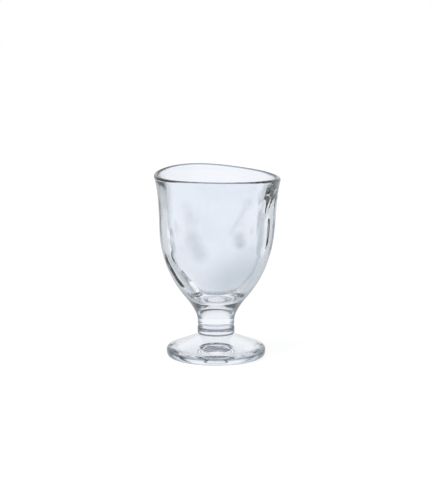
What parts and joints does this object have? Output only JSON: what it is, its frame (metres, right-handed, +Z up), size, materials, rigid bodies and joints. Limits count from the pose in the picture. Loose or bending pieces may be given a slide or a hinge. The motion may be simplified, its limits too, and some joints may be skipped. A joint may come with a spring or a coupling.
{
  "type": "stemmed liqueur glass",
  "caption": "Small clear drinking glass with a thick, softly hollowed bowl, a wavy lip, a short solid stem with a collar and a domed foot, for liqueurs and other short drinks.",
  "frame": {"origin": "on the table, under the middle of the foot", "axes": "+Z up along the stem to the lip, -Y towards the side that the picture shows"},
  "size_m": [0.0598, 0.06, 0.0885],
  "materials": {
    "clear_glass": "clear, fire-polished"
  },
  "bodies": {
    "root": {"bowl": "clear_glass", "stem": "clear_glass", "stem_collar": "clear_glass", "foot": "clear_glass"}
  },
  "joints": []
}
